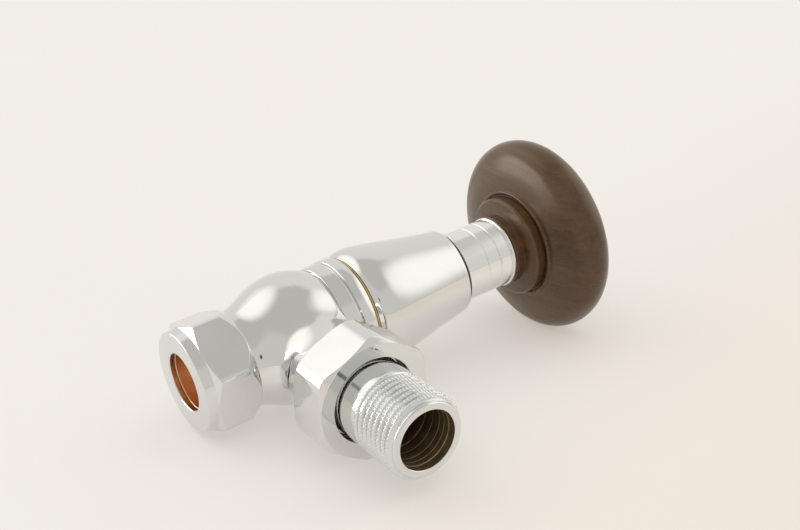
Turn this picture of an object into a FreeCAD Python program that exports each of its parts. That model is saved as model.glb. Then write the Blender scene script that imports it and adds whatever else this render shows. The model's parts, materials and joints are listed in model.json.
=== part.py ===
import FreeCAD, Part
import os
import math
import Sketcher

# Angle-pattern radiator valve with a wooden handwheel.
# Every piece is drawn in the valve's own axes: local +Z is the spindle axis
# towards the handwheel, local +X is the outlet axis, and the origin is where
# they cross. One common placement then lays the finished valve on a surface.

doc = FreeCAD.newDocument("radiator_valve")
sheet = doc.addObject("Spreadsheet::Sheet", "dims")
sheet.Label = "dims"

SIZES = [
    # resting attitude: sine of the rise of the spindle axis, sine of the outlet axis
    ("spindle_rise", 0.115459), ("outlet_rise", -0.050776),
    # body
    ("globe_r", 17.23), ("globe_z", 0.45),
    ("inlet_z", -26.3), ("inlet_thread_r", 10.4), ("inlet_relief_r", 9.9),
    ("inlet_flange_z", -15.7), ("inlet_flange_r", 12.9), ("inlet_flange_end", -13.6),
    ("pipe_r", 7.6), ("pipe_stop_z", -15.5), ("cone_r", 9.84), ("cone_end", -22.4),
    ("way_r", 6.2), ("seat_z", -6.1), ("seat_r", 8.0), ("chamber_r", 11.5),
    ("chamber_floor", -8.5), ("chamber_top", 9.3), ("head_bore_r", 12.2),
    ("collar_z", 8.6), ("collar_r", 15.15), ("bead_z", 13.4), ("bead_r", 15.45),
    ("band_r", 15.75), ("collar_top", 17.75), ("ring_seat_r", 13.7), ("ring_seat_z", 16.2),
    ("neck_r", 11.6), ("neck_end", 21.0), ("neck_flange_x", 25.3), ("neck_flange_r", 13.2),
    ("outlet_thread_r", 12.95), ("outlet_x", 32.0), ("outlet_way_r", 7.4),
    ("socket_r", 9.7), ("socket_x", 29.0),
    ("gas_pitch", 1.814), ("thread_cut", 0.7), ("inlet_thread_n", 4), ("outlet_thread_n", 2),
    # compression nut and olive
    ("cnut_face", -30.63), ("cnut_back", -16.2), ("cnut_corner_r", 15.5), ("cnut_af", 27.4),
    ("cnut_phase", -20.0), ("cnut_face_r", 13.1), ("cnut_collar_r", 13.5), ("cnut_collar_z", -27.98),
    ("cnut_taper", 1.24), ("cnut_back_r", 13.6), ("cnut_back_taper", 3.04), ("cnut_bore_r", 10.75),
    ("cnut_step", -26.9), ("cnut_seat", -29.2),
    ("olive_front", -29.0), ("olive_back", -23.2), ("olive_r", 9.0), ("olive_front_r", 8.35),
    ("olive_back_r", 7.85),
    # union nut, tail and its ring
    ("unut_back", 26.8), ("unut_face", 39.0), ("unut_corner_r", 16.3), ("unut_af", 29.6),
    ("unut_phase", -7.0), ("unut_face_r", 14.7), ("unut_taper", 0.96), ("unut_bore_r", 13.25),
    ("unut_lip", 35.9), ("unut_hole_r", 11.0),
    ("tail_start", 29.3), ("tail_end", 60.15), ("tail_bore_r", 7.49), ("spigot_r", 9.6),
    ("tail_flange_x", 32.15), ("tail_flange_end", 35.75), ("tail_flange_r", 12.6),
    ("tail_plain_r", 10.3), ("tail_thread_x", 45.55), ("tail_thread_end", 59.0),
    ("tail_thread_r", 10.4775), ("tail_root_r", 9.33), ("tail_thread_n", 7),
    ("tail_groove_r", 8.3), ("tail_ring_x", 30.9), ("tail_ring_r", 8.95), ("tail_ring_s", 0.6),
    # headwork
    ("head_low", 8.0), ("head_low_r", 9.5), ("head_thread_r", 11.95), ("head_thread_z", 9.8),
    ("head_flange_z", 17.95), ("head_flange_top", 18.7), ("head_flange_r", 15.15),
    ("head_shroud_r", 13.6), ("head_shroud_z", 24.5), ("head_hex_z", 30.5), ("head_hex_af", 18.0),
    ("head_hex_r", 10.3), ("boss_r", 8.0), ("boss_top", 40.5), ("box_r", 6.2), ("box_z", 30.0),
    ("stem_bore_r", 4.1), ("shoulder_z", 22.7), ("guide_r", 5.75), ("guide_top", 17.9),
    ("slot_r", 6.65), ("slot_flat", 5.8),
    ("head_ring_r", 12.85), ("head_ring_s", 0.72), ("head_ring_z", 17.05),
    # spindle and the pieces round it
    ("spindle_low", 5.6), ("spindle_r", 4.0), ("screw_r", 3.85), ("screw_top", 19.0),
    ("screw_pitch", 1.5), ("screw_n", 8), ("thrust_r", 5.6), ("thrust_z", 20.2), ("thrust_top", 21.8),
    ("ring_groove_r", 3.2), ("ring_one_z", 24.0), ("ring_two_z", 27.0), ("ring_wide", 1.2),
    ("ring_section", 0.38), ("clip_z", 43.95), ("clip_wide", 0.9), ("clip_groove_r", 3.3),
    ("clip_r", 6.2), ("clip_thick", 0.8), ("clip_gap", 2.6),
    ("drive_z", 58.6), ("drive_r", 3.4), ("drive_flat", 2.9), ("spindle_top", 80.0),
    ("tap_r", 2.05), ("tap_z", 67.0),
    ("washer_low", 21.9), ("washer_top", 22.6), ("washer_in_r", 4.15), ("washer_out_r", 5.65),
    ("pack_low", 30.1), ("pack_top", 33.4), ("pack_r", 6.1),
    ("gland_low", 33.6), ("gland_r", 6.05), ("gland_head", 40.7), ("gland_top", 43.6),
    ("gland_af", 13.0), ("gland_corner_r", 7.3), ("gland_bore_r", 4.3),
    # disc carrier, washer and its screw
    ("disc_low", -3.3), ("disc_top", -1.3), ("disc_r", 8.8), ("carrier_r", 6.5),
    ("carrier_flat", 5.65), ("carrier_top", 14.0), ("carrier_bore_r", 4.0), ("carrier_blind", 1.5),
    ("rubber_low", -6.0), ("rubber_top", -3.4), ("rubber_r", 8.4), ("rubber_hole_r", 2.2),
    ("jump_head_r", 4.2), ("jump_head_low", -7.6), ("jump_r", 1.9), ("jump_top", 0.5),
    # shroud
    ("shroud_low", 18.85), ("shroud_low_r", 15.2), ("shroud_max_r", 16.4), ("shroud_max_z", 22.0),
    ("shroud_mid_r", 15.25), ("shroud_mid_z", 32.0), ("shroud_far_r", 12.25), ("shroud_far_z", 48.0),
    ("shroud_end_r", 11.65), ("shroud_end_z", 50.2), ("shroud_top", 51.3), ("shroud_lip_r", 10.85),
    ("shroud_hole_r", 10.15), ("shroud_bore_r", 13.85),
    # ferrule
    ("ferrule_low", 47.0), ("ferrule_top", 67.3), ("ferrule_r", 9.75), ("ferrule_lip_r", 10.05),
    ("ferrule_in_r", 8.4), ("ferrule_web", 65.5), ("ferrule_hole_r", 5.65),
    ("flute_one", 58.3), ("flute_two", 62.4), ("flute_three", 66.1), ("flute_half", 0.3),
    ("flute_depth", 0.35),
    # wheel bush, handwheel, screw, washer and cap
    ("bush_low", 60.0), ("bush_r", 5.5), ("bush_flange_low", 64.0), ("bush_flange_top", 65.4),
    ("bush_flange_r", 7.6), ("bush_top", 83.8), ("bush_web", 80.3), ("bush_bore_r", 3.5),
    ("bush_flat", 2.98), ("bush_hole_r", 2.2),
    ("wheel_low", 67.5), ("wheel_bore_r", 5.6), ("hub_neck_r", 10.0), ("hub_neck_z", 70.2),
    ("hub_r", 14.2), ("hub_z", 71.0), ("groove_z", 74.9), ("bead_in_r", 14.65),
    ("bead_out_r", 15.7), ("bead_top_z", 73.9), ("wheel_face_z", 74.5), ("rim_centre_r", 21.73), ("rim_centre_z", 82.23), ("rim_round", 6.12),
    ("wheel_back_z", 89.3), ("recess_r", 7.7), ("recess_z", 84.0),
    ("bolt_r", 1.95), ("bolt_low", 68.5), ("bolt_head_low", 84.6), ("bolt_head_top", 87.2),
    ("bolt_head_r", 3.6), ("bolt_key_r", 1.5),
    ("lock_low", 83.9), ("lock_top", 84.5), ("lock_in_r", 2.2), ("lock_out_r", 3.7), ("lock_gap", 0.7),
    ("cap_r", 7.55), ("cap_low", 85.0), ("cap_edge", 89.5), ("cap_top", 91.3), ("cap_in_r", 6.6),
]
NUM = {}
for i, (name, value) in enumerate(SIZES, start=1):
    sheet.set("A%d" % i, name)
    sheet.set("B%d" % i, "%.6g" % value)
    sheet.setAlias("B%d" % i, name)
    NUM[name] = float(value)
doc.recompute()


class Dim:
    """A length with its number and the expression that drives it."""

    def __init__(self, v, x):
        self.v, self.x = float(v), x

    def _two(self, other, op, left=True):
        o = other if isinstance(other, Dim) else Dim(other, "%.6g" % other)
        a, b = (self, o) if left else (o, self)
        v = {"+": a.v + b.v, "-": a.v - b.v, "*": a.v * b.v}.get(op)
        if v is None:
            v = a.v / b.v
        return Dim(v, "(%s %s %s)" % (a.x, op, b.x))

    def __add__(self, o): return self._two(o, "+")
    def __radd__(self, o): return self._two(o, "+", False)
    def __sub__(self, o): return self._two(o, "-")
    def __rsub__(self, o): return self._two(o, "-", False)
    def __mul__(self, o): return self._two(o, "*")
    def __rmul__(self, o): return self._two(o, "*", False)
    def __truediv__(self, o): return self._two(o, "/")
    def __neg__(self): return Dim(-self.v, "(-1 * %s)" % self.x)


def D(name):
    return Dim(NUM[name], "dims.%s" % name)


def num(v):
    return v if isinstance(v, Dim) else Dim(v, "%.6g" % v)


def root(d):
    return Dim(math.sqrt(d.v), "sqrt(%s)" % d.x)


def cosd(d):
    return Dim(math.cos(math.radians(d.v)), "cos(%s)" % d.x)


def sind(d):
    return Dim(math.sin(math.radians(d.v)), "sin(%s)" % d.x)


BODIES = []


def new_body(label):
    b = doc.addObject("PartDesign::Body", label)
    b.Label = label
    BODIES.append(b)
    return b


def plane_of(body, role):
    for f in body.Origin.OriginFeatures:
        if f.Role == role:
            return f
    raise RuntimeError("no plane " + role)


def new_sketch(body, name, role, offset=None):
    sk = body.newObject("Sketcher::SketchObject", body.Name + "_" + name)
    sk.AttachmentSupport = [(plane_of(body, role), "")]
    sk.MapMode = "FlatFace"
    if offset is not None:
        off = num(offset)
        sk.AttachmentOffset = FreeCAD.Placement(FreeCAD.Vector(0, 0, off.v), FreeCAD.Rotation())
        sk.setExpression("AttachmentOffset.Base.z", off.x)
    return sk


def pin_point(sk, geo, pos, x, y):
    for axis, kind, d in ((-2, "DistanceX", x), (-1, "DistanceY", y)):
        if abs(d.v) < 1e-9:
            sk.addConstraint(Sketcher.Constraint("PointOnObject", geo, pos, axis))
        else:
            i = sk.addConstraint(Sketcher.Constraint(kind, -1, 1, geo, pos, d.v))
            sk.setExpression("Constraints[%d]" % i, d.x)


def loop(sk, pts):
    """A closed outline. Each point is (x, y) or (x, y, radius): with a radius the
    run that ends at this point is an arc, anticlockwise if the radius is positive."""
    pts = [(num(p[0]), num(p[1]), p[2] if len(p) > 2 else None) for p in pts]
    n = len(pts)
    ends = []
    for i in range(n):
        a, b = pts[i], pts[(i + 1) % n]
        pa, pb = FreeCAD.Vector(a[0].v, a[1].v, 0), FreeCAD.Vector(b[0].v, b[1].v, 0)
        rad = b[2]
        if rad is None:
            g = sk.addGeometry(Part.LineSegment(pa, pb), False)
            ends.append((g, 1, 2))
            continue
        rad = num(rad)
        ccw = rad.v > 0
        if not ccw:
            pa, pb = pb, pa
        chord = pb - pa
        half = chord.Length / 2.0
        r = abs(rad.v)
        high = math.sqrt(max(r * r - half * half, 0.0))
        mid = (pa + pb) * 0.5
        side = FreeCAD.Vector(-chord.y, chord.x, 0)
        side.normalize()
        c = mid + side * high
        a0 = math.atan2(pa.y - c.y, pa.x - c.x)
        a1 = math.atan2(pb.y - c.y, pb.x - c.x)
        while a1 <= a0:
            a1 += 2 * math.pi
        g = sk.addGeometry(Part.ArcOfCircle(Part.Circle(c, FreeCAD.Vector(0, 0, 1), r), a0, a1), False)
        k = sk.addConstraint(Sketcher.Constraint("Radius", g, r))
        sk.setExpression("Constraints[%d]" % k, rad.x if ccw else "(-1 * %s)" % rad.x)
        ends.append((g, 1, 2) if ccw else (g, 2, 1))
    for i in range(n):
        g, s, e = ends[i]
        g2, s2, e2 = ends[(i + 1) % n]
        sk.addConstraint(Sketcher.Constraint("Coincident", g, e, g2, s2))
        pin_point(sk, g, s, pts[i][0], pts[i][1])


def ring(sk, cx, cy, r):
    cx, cy, r = num(cx), num(cy), num(r)
    g = sk.addGeometry(Part.Circle(FreeCAD.Vector(cx.v, cy.v, 0), FreeCAD.Vector(0, 0, 1), r.v), False)
    pin_point(sk, g, 3, cx, cy)
    k = sk.addConstraint(Sketcher.Constraint("Radius", g, r.v))
    sk.setExpression("Constraints[%d]" % k, r.x)


def turn(body, name, pts, axis="V_Axis", cut=False, circle=None):
    """Revolve an outline in the local XZ plane about Z (V_Axis) or X (H_Axis)."""
    sk = new_sketch(body, name + "_sketch", "XZ_Plane")
    if circle:
        ring(sk, *circle)
    else:
        loop(sk, pts)
    sk.Visibility = False
    f = body.newObject("PartDesign::Groove" if cut else "PartDesign::Revolution", body.Name + "_" + name)
    f.Profile = sk
    f.ReferenceAxis = (sk, [axis])
    f.Angle = 360
    body.Tip = f
    return f


def repeat(body, name, feature, axis, count, pitch):
    sk = feature.Profile[0]
    p = body.newObject("PartDesign::LinearPattern", body.Name + "_" + name)
    p.Originals = [feature]
    p.Direction = (sk, [axis])
    p.Occurrences = int(count.v)
    p.Length = (count.v - 1) * pitch.v
    p.setExpression("Occurrences", count.x)
    p.setExpression("Length", "(%s - 1) * %s" % (count.x, pitch.x))
    body.Tip = p
    return p


def flats(body, name, role, start, length, af, phase, outer_r):
    """Mill a hexagon: everything between the hexagon and a circle round it goes."""
    sk = new_sketch(body, name + "_sketch", role, start + length)
    ring(sk, 0, 0, outer_r)
    corner = af / 1.7320508
    loop(sk, [(corner * cosd(phase + 60 * k), corner * sind(phase + 60 * k)) for k in range(6)])
    sk.Visibility = False
    f = body.newObject("PartDesign::Pocket", body.Name + "_" + name)
    f.Profile = sk
    f.Length = length.v
    f.setExpression("Length", length.x)
    body.Tip = f
    return f


def column(body, name, start, length, pts=None, circles=(), cut=False, top=False):
    """Pad up from start along local Z, or cut down into the body from start + length."""
    sk = new_sketch(body, name + "_sketch", "XY_Plane", start + length if (cut or top) else start)
    if pts:
        loop(sk, pts)
    for c in circles:
        ring(sk, *c)
    sk.Visibility = False
    f = body.newObject("PartDesign::Pocket" if cut else "PartDesign::Pad", body.Name + "_" + name)
    f.Profile = sk
    f.Length = length.v
    f.setExpression("Length", length.x)
    body.Tip = f
    return f


def two_flats(r, flat):
    x = root(r * r - flat * flat)
    return [(x, -flat), (x, flat, r), (-x, flat), (-x, -flat, r)]


# ---------------------------------------------------------------- valve body
b = new_body("valve_body")
g_r, g_z = D("globe_r"), D("globe_z")
lowz = -12.6
low_r = root(g_r * g_r - (lowz - g_z) * (lowz - g_z))
col_r = root(g_r * g_r - (D("collar_z") - g_z) * (D("collar_z") - g_z))
turn(b, "shell", [
    (0, D("inlet_z")), (D("inlet_thread_r") - 0.5, D("inlet_z")), (D("inlet_thread_r"), D("inlet_z") + 0.5),
    (D("inlet_thread_r"), D("inlet_flange_z") - 1.6), (D("inlet_relief_r"), D("inlet_flange_z") - 1.1),
    (D("inlet_relief_r"), D("inlet_flange_z")), (D("inlet_flange_r") - 0.4, D("inlet_flange_z")),
    (D("inlet_flange_r"), D("inlet_flange_z") + 0.4), (D("inlet_flange_r"), D("inlet_flange_end") - 0.5),
    (D("inlet_flange_r") - 0.5, D("inlet_flange_end")), (low_r + 0.25, D("inlet_flange_end")),
    (low_r, lowz), (col_r, D("collar_z"), g_r),
    (D("collar_r") - 0.4, D("collar_z") + 0.15), (D("collar_r") - 0.4, D("collar_z") + 0.55),
    (D("collar_r"), D("collar_z") + 0.8), (D("bead_r"), D("bead_z"), 14.0),
    (D("bead_r") - 0.4, D("bead_z") + 0.2), (D("bead_r") - 0.4, D("bead_z") + 0.5),
    (D("band_r") - 0.15, D("bead_z") + 0.8), (D("band_r"), D("collar_top") - 1.0, 14.0),
    (D("band_r") - 0.8, D("collar_top"), 1.0), (0, D("collar_top")),
])
f_c = 4.0
turn(b, "neck", [
    (5, 0), (5, 12.0), ((g_r * 11.69 / 17.23), (g_r * 12.66 / 17.23)),
    (14.4, D("neck_r"), 4.0), (D("neck_end") - 2.5, D("neck_r")),
    (D("neck_flange_x") - 0.2, D("neck_flange_r") - 0.35, 17.0),
    (D("neck_flange_x") + 0.2, D("neck_flange_r")), (D("neck_flange_x") + 0.8, D("neck_flange_r")),
    (D("neck_flange_x") + 1.0, D("neck_flange_r") - 0.9), (D("neck_flange_x") + 2.2, D("neck_flange_r") - 0.9),
    (D("neck_flange_x") + 2.5, D("outlet_thread_r")), (D("outlet_x") - 0.6, D("outlet_thread_r")),
    (D("outlet_x"), D("outlet_thread_r") - 0.6), (D("outlet_x"), 0),
], axis="H_Axis")
turn(b, "waterway", [
    (0, D("inlet_z") - 0.7), (D("cone_r"), D("inlet_z") - 0.7), (D("pipe_r"), D("cone_end")),
    (D("pipe_r"), D("pipe_stop_z")), (D("way_r"), D("pipe_stop_z")), (D("way_r"), D("seat_z")),
    (D("seat_r"), D("seat_z")), (D("seat_r"), D("chamber_floor")),
    (D("chamber_r") - 1, D("chamber_floor")), (D("chamber_r"), D("chamber_floor") + 1),
    (D("chamber_r"), D("chamber_top")), (D("head_bore_r"), D("chamber_top")),
    (D("head_bore_r"), D("ring_seat_z")), (D("ring_seat_r"), D("ring_seat_z")),
    (D("ring_seat_r"), D("collar_top") + 0.5), (0, D("collar_top") + 0.5),
], cut=True)
turn(b, "outlet", [
    (10.5, 0), (10.5, D("outlet_way_r")), (D("socket_x"), D("outlet_way_r")),
    (D("socket_x"), D("socket_r")), (D("outlet_x") - 0.5, D("socket_r")),
    (D("outlet_x") + 0.5, D("socket_r") + 0.7), (D("outlet_x") + 0.5, 0),
], axis="H_Axis", cut=True)
cut_h = D("thread_cut")
z0 = D("inlet_z") + 1.2
f = turn(b, "inlet_thread", [
    (D("inlet_thread_r") + 0.3, z0), (D("inlet_thread_r") - cut_h, z0 + 0.6),
    (D("inlet_thread_r") - cut_h, z0 + 0.8), (D("inlet_thread_r") + 0.3, z0 + 1.4)], cut=True)
repeat(b, "inlet_threads", f, "V_Axis", D("inlet_thread_n"), D("gas_pitch"))
x0 = D("outlet_x") - 3.9
f = turn(b, "outlet_thread", [
    (x0, D("outlet_thread_r") + 0.3), (x0 + 0.6, D("outlet_thread_r") - cut_h),
    (x0 + 0.8, D("outlet_thread_r") - cut_h), (x0 + 1.4, D("outlet_thread_r") + 0.3)],
    axis="H_Axis", cut=True)
repeat(b, "outlet_threads", f, "H_Axis", D("outlet_thread_n"), D("gas_pitch"))

# ---------------------------------------------------------------- compression nut and olive
b = new_body("compression_nut")
turn(b, "blank", [
    (D("pipe_r") + 0.3, D("cnut_face")), (D("cnut_face_r"), D("cnut_face")),
    (D("cnut_collar_r"), D("cnut_collar_z")), (D("cnut_corner_r"), D("cnut_collar_z") + D("cnut_taper")),
    (D("cnut_corner_r"), D("cnut_back") - D("cnut_back_taper")), (D("cnut_back_r"), D("cnut_back")),
    (D("cnut_bore_r"), D("cnut_back")),
    (D("cnut_bore_r"), D("cnut_step")), (D("olive_r") + 0.3, D("cnut_step")),
    (D("olive_front_r") + 0.2, D("cnut_seat")), (D("pipe_r"), D("cnut_seat")),
    (D("pipe_r"), D("cnut_face") + 0.3),
])
flats(b, "hexagon", "XY_Plane", D("cnut_face") - 1, D("cnut_back") - D("cnut_face") + 2,
      D("cnut_af"), D("cnut_phase"), 20)

b = new_body("olive")
turn(b, "ring", [
    (D("pipe_r"), D("olive_front")), (D("olive_front_r"), D("olive_front")),
    (D("olive_r"), D("olive_front") + 2.0), (D("olive_r"), D("olive_front") + 3.1),
    (D("olive_back_r"), D("olive_back")), (D("pipe_r"), D("olive_back")),
])

# ---------------------------------------------------------------- union nut, tail and ring
b = new_body("union_nut")
turn(b, "blank", [
    (D("unut_back"), D("unut_bore_r")), (D("unut_back"), D("unut_corner_r") - 1.3),
    (D("unut_back") + 0.9, D("unut_corner_r")), (D("unut_face") - D("unut_taper"), D("unut_corner_r")),
    (D("unut_face"), D("unut_face_r")), (D("unut_face"), D("unut_hole_r")),
    (D("unut_lip"), D("unut_hole_r")), (D("unut_lip"), D("unut_bore_r")),
], axis="H_Axis")
flats(b, "hexagon", "YZ_Plane", D("unut_back") - 1, D("unut_face") - D("unut_back") + 2,
      D("unut_af"), D("unut_phase"), 20)

b = new_body("tail_piece")
turn(b, "tube", [
    (D("tail_start"), D("tail_bore_r")), (D("tail_start"), D("spigot_r") - 0.4),
    (D("tail_start") + 0.4, D("spigot_r")), (D("tail_ring_x") - 0.75, D("spigot_r")),
    (D("tail_ring_x") - 0.75, D("tail_groove_r")), (D("tail_ring_x") + 0.75, D("tail_groove_r")),
    (D("tail_ring_x") + 0.75, D("spigot_r")), (D("tail_flange_x"), D("spigot_r")),
    (D("tail_flange_x"), D("tail_flange_r") - 0.3), (D("tail_flange_x") + 0.3, D("tail_flange_r")),
    (D("tail_flange_end"), D("tail_flange_r")), (D("tail_flange_end"), D("tail_plain_r")),
    (D("tail_thread_x") - 0.3, D("tail_plain_r")), (D("tail_thread_x"), D("tail_thread_r")),
    (D("tail_thread_end"), D("tail_thread_r")), (D("tail_thread_end") + 0.5, D("tail_root_r")),
    (D("tail_end") - 0.25, D("tail_root_r")), (D("tail_end"), D("tail_root_r") - 0.25),
    (D("tail_end"), D("tail_bore_r")),
], axis="H_Axis")
x0 = D("tail_thread_x") + 0.6
f = turn(b, "thread", [
    (x0, D("tail_thread_r") + 0.3), (x0 + 0.75, D("tail_root_r")),
    (x0 + 0.95, D("tail_root_r")), (x0 + 1.7, D("tail_thread_r") + 0.3)], axis="H_Axis", cut=True)
repeat(b, "threads", f, "H_Axis", D("tail_thread_n"), D("gas_pitch"))

b = new_body("tail_o_ring")
turn(b, "ring", None, axis="H_Axis", circle=(D("tail_ring_x"), D("tail_ring_r"), D("tail_ring_s")))

# ---------------------------------------------------------------- headwork
b = new_body("headwork")
turn(b, "blank", [
    (D("guide_r"), D("head_low")), (D("head_low_r"), D("head_low")),
    (D("head_low_r"), D("head_thread_z") - 0.5), (D("head_thread_r") - 0.5, D("head_thread_z") - 0.5),
    (D("head_thread_r"), D("head_thread_z")), (D("head_thread_r"), D("head_flange_z")),
    (D("head_flange_r"), D("head_flange_z")), (D("head_flange_r"), D("head_flange_top")),
    (D("head_shroud_r"), D("head_flange_top")), (D("head_shroud_r"), D("head_shroud_z") - 0.5),
    (D("head_shroud_r") - 0.5, D("head_shroud_z")), (D("head_hex_r"), D("head_shroud_z")),
    (D("head_hex_r"), D("head_hex_z") - 0.6), (D("head_hex_r") - 0.8, D("head_hex_z")),
    (D("boss_r"), D("head_hex_z")), (D("boss_r"), D("boss_top") - 0.4),
    (D("boss_r") - 0.4, D("boss_top")), (D("box_r"), D("boss_top")),
    (D("box_r"), D("box_z")), (D("stem_bore_r"), D("box_z")),
    (D("stem_bore_r"), D("shoulder_z")), (D("guide_r"), D("shoulder_z")),
])
flats(b, "hexagon", "XY_Plane", D("head_shroud_z"), D("head_hex_z") - D("head_shroud_z"),
      D("head_hex_af"), num(0), 16)
column(b, "guide", D("head_low") - 0.5, D("guide_top") - D("head_low") + 0.5,
       pts=two_flats(D("slot_r"), D("slot_flat")), cut=True)

b = new_body("headwork_o_ring")
turn(b, "ring", None, circle=(D("head_ring_r"), D("head_ring_z"), D("head_ring_s")))

# ---------------------------------------------------------------- spindle and its seals
b = new_body("spindle")
turn(b, "bar", [
    (0, D("spindle_low")), (D("screw_r") - 0.5, D("spindle_low")), (D("screw_r"), D("spindle_low") + 0.5),
    (D("screw_r"), D("screw_top")), (D("screw_r") - 0.75, D("screw_top") + 0.3),
    (D("screw_r") - 0.75, D("thrust_z")), (D("thrust_r"), D("thrust_z")), (D("thrust_r"), D("thrust_top")),
    (D("spindle_r"), D("thrust_top")), (D("spindle_r"), D("ring_one_z")),
    (D("ring_groove_r"), D("ring_one_z")), (D("ring_groove_r"), D("ring_one_z") + D("ring_wide")),
    (D("spindle_r"), D("ring_one_z") + D("ring_wide")), (D("spindle_r"), D("ring_two_z")),
    (D("ring_groove_r"), D("ring_two_z")), (D("ring_groove_r"), D("ring_two_z") + D("ring_wide")),
    (D("spindle_r"), D("ring_two_z") + D("ring_wide")), (D("spindle_r"), D("clip_z")),
    (D("clip_groove_r"), D("clip_z")), (D("clip_groove_r"), D("clip_z") + D("clip_wide")),
    (D("spindle_r"), D("clip_z") + D("clip_wide")), (D("spindle_r"), D("drive_z") - 0.6),
    (D("drive_r"), D("drive_z")), (D("drive_r"), D("spindle_top") - 0.4),
    (D("drive_r") - 0.4, D("spindle_top")), (D("tap_r"), D("spindle_top")),
    (D("tap_r"), D("tap_z")), (0, D("tap_z") - 1.0),
])
z0 = D("spindle_low") + 0.9
f = turn(b, "screw", [
    (D("screw_r") + 0.3, z0), (D("screw_r") - 0.6, z0 + 0.5),
    (D("screw_r") - 0.6, z0 + 0.8), (D("screw_r") + 0.3, z0 + 1.3)], cut=True)
repeat(b, "screws", f, "V_Axis", D("screw_n"), D("screw_pitch"))
side = D("drive_r") + 1
for tag, sign in (("a", 1), ("b", -1)):
    lo, hi = (D("drive_flat"), side) if sign > 0 else (-side, -D("drive_flat"))
    column(b, "flat_" + tag, D("drive_z"), D("spindle_top") - D("drive_z") + 1,
           pts=[(-side, lo), (side, lo), (side, hi), (-side, hi)], cut=True)

b = new_body("spindle_o_ring_lower")
mid = D("ring_wide") / 2
turn(b, "lower", None, circle=(D("ring_groove_r") + D("ring_section") + 0.01, D("ring_one_z") + mid, D("ring_section")))

b2 = new_body("spindle_o_ring_upper")
turn(b2, "upper", None, circle=(D("ring_groove_r") + D("ring_section") + 0.01, D("ring_two_z") + mid, D("ring_section")))

b = new_body("thrust_washer")
turn(b, "ring", [(D("washer_in_r"), D("washer_low")), (D("washer_out_r"), D("washer_low")),
                 (D("washer_out_r"), D("washer_top")), (D("washer_in_r"), D("washer_top"))])

b = new_body("gland_packing")
turn(b, "ring", [(D("stem_bore_r"), D("pack_low")), (D("pack_r"), D("pack_low")),
                 (D("pack_r"), D("pack_top")), (D("stem_bore_r"), D("pack_top"))])

b = new_body("gland_nut")
turn(b, "blank", [
    (D("gland_bore_r"), D("gland_low")), (D("gland_r") - 0.3, D("gland_low")),
    (D("gland_r"), D("gland_low") + 0.3), (D("gland_r"), D("gland_head")),
    (D("gland_corner_r"), D("gland_head")), (D("gland_corner_r"), D("gland_top") - 0.5),
    (D("gland_corner_r") - 0.8, D("gland_top")), (D("gland_bore_r"), D("gland_top")),
])
flats(b, "hexagon", "XY_Plane", D("gland_head"), D("gland_top") - D("gland_head") + 0.5,
      D("gland_af"), num(0), 12)

b = new_body("spindle_circlip")
turn(b, "ring", [
    (D("clip_groove_r") + 0.05, D("clip_z") + 0.05), (D("clip_r"), D("clip_z") + 0.05),
    (D("clip_r"), D("clip_z") + 0.05 + D("clip_thick")), (D("clip_groove_r") + 0.05, D("clip_z") + 0.05 + D("clip_thick")),
])
column(b, "mouth", D("clip_z") - 0.5, D("clip_thick") + 1.2,
       pts=[(0, -D("clip_gap")), (D("clip_r") + 1, -D("clip_gap")), (D("clip_r") + 1, D("clip_gap")), (0, D("clip_gap"))],
       cut=True)

# ---------------------------------------------------------------- disc carrier, washer and screw
b = new_body("disc_carrier")
turn(b, "disc", [
    (D("jump_r") + 0.1, D("disc_low")), (D("disc_r") - 0.3, D("disc_low")), (D("disc_r"), D("disc_low") + 0.3),
    (D("disc_r"), D("disc_top")), (D("jump_r") + 0.1, D("disc_top")),
])
column(b, "stem", D("disc_top") - 0.5, D("carrier_top") - D("disc_top") + 0.5,
       pts=two_flats(D("carrier_r"), D("carrier_flat")), circles=((0, 0, D("jump_r") + 0.1),))
column(b, "bore", D("carrier_blind"), D("carrier_top") - D("carrier_blind") + 1,
       circles=((0, 0, D("carrier_bore_r")),), cut=True)

b = new_body("seat_washer")
turn(b, "ring", [
    (D("rubber_hole_r"), D("rubber_low")), (D("rubber_r") - 0.3, D("rubber_low")),
    (D("rubber_r"), D("rubber_low") + 0.3), (D("rubber_r"), D("rubber_top")),
    (D("rubber_hole_r"), D("rubber_top")),
])

b = new_body("seat_washer_screw")
turn(b, "bar", [
    (0, D("jump_head_low")), (D("jump_head_r") - 0.5, D("jump_head_low")),
    (D("jump_head_r"), D("jump_head_low") + 0.5), (D("jump_head_r"), D("rubber_low") - 0.05),
    (D("jump_r"), D("rubber_low") - 0.05), (D("jump_r"), D("jump_top") - 0.3),
    (D("jump_r") - 0.3, D("jump_top")), (0, D("jump_top")),
])
column(b, "slot", D("jump_head_low") - 0.5, num(1.2),
       pts=[(-6, -0.5), (6, -0.5), (6, 0.5), (-6, 0.5)], cut=True)

# ---------------------------------------------------------------- shroud
b = new_body("shroud")
turn(b, "bell", [
    (D("shroud_bore_r"), D("shroud_low")), (D("shroud_low_r"), D("shroud_low")),
    (D("shroud_max_r"), D("shroud_max_z"), 4.2), (D("shroud_mid_r"), D("shroud_mid_z"), 55.0),
    (D("shroud_far_r"), D("shroud_far_z"), 160.0), (D("shroud_end_r"), D("shroud_end_z"), 12.0),
    (D("shroud_lip_r"), D("shroud_top"), 1.2), (D("shroud_hole_r") + 0.15, D("shroud_top")),
    (D("shroud_hole_r"), D("shroud_top") - 0.15), (D("shroud_hole_r"), D("shroud_far_z") + 0.5),
    (D("shroud_hole_r") + 0.6, D("shroud_far_z")), (D("shroud_mid_r") - 1.6, D("shroud_mid_z")),
    (D("shroud_bore_r"), D("shroud_mid_z") - 2.0),
])

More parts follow.
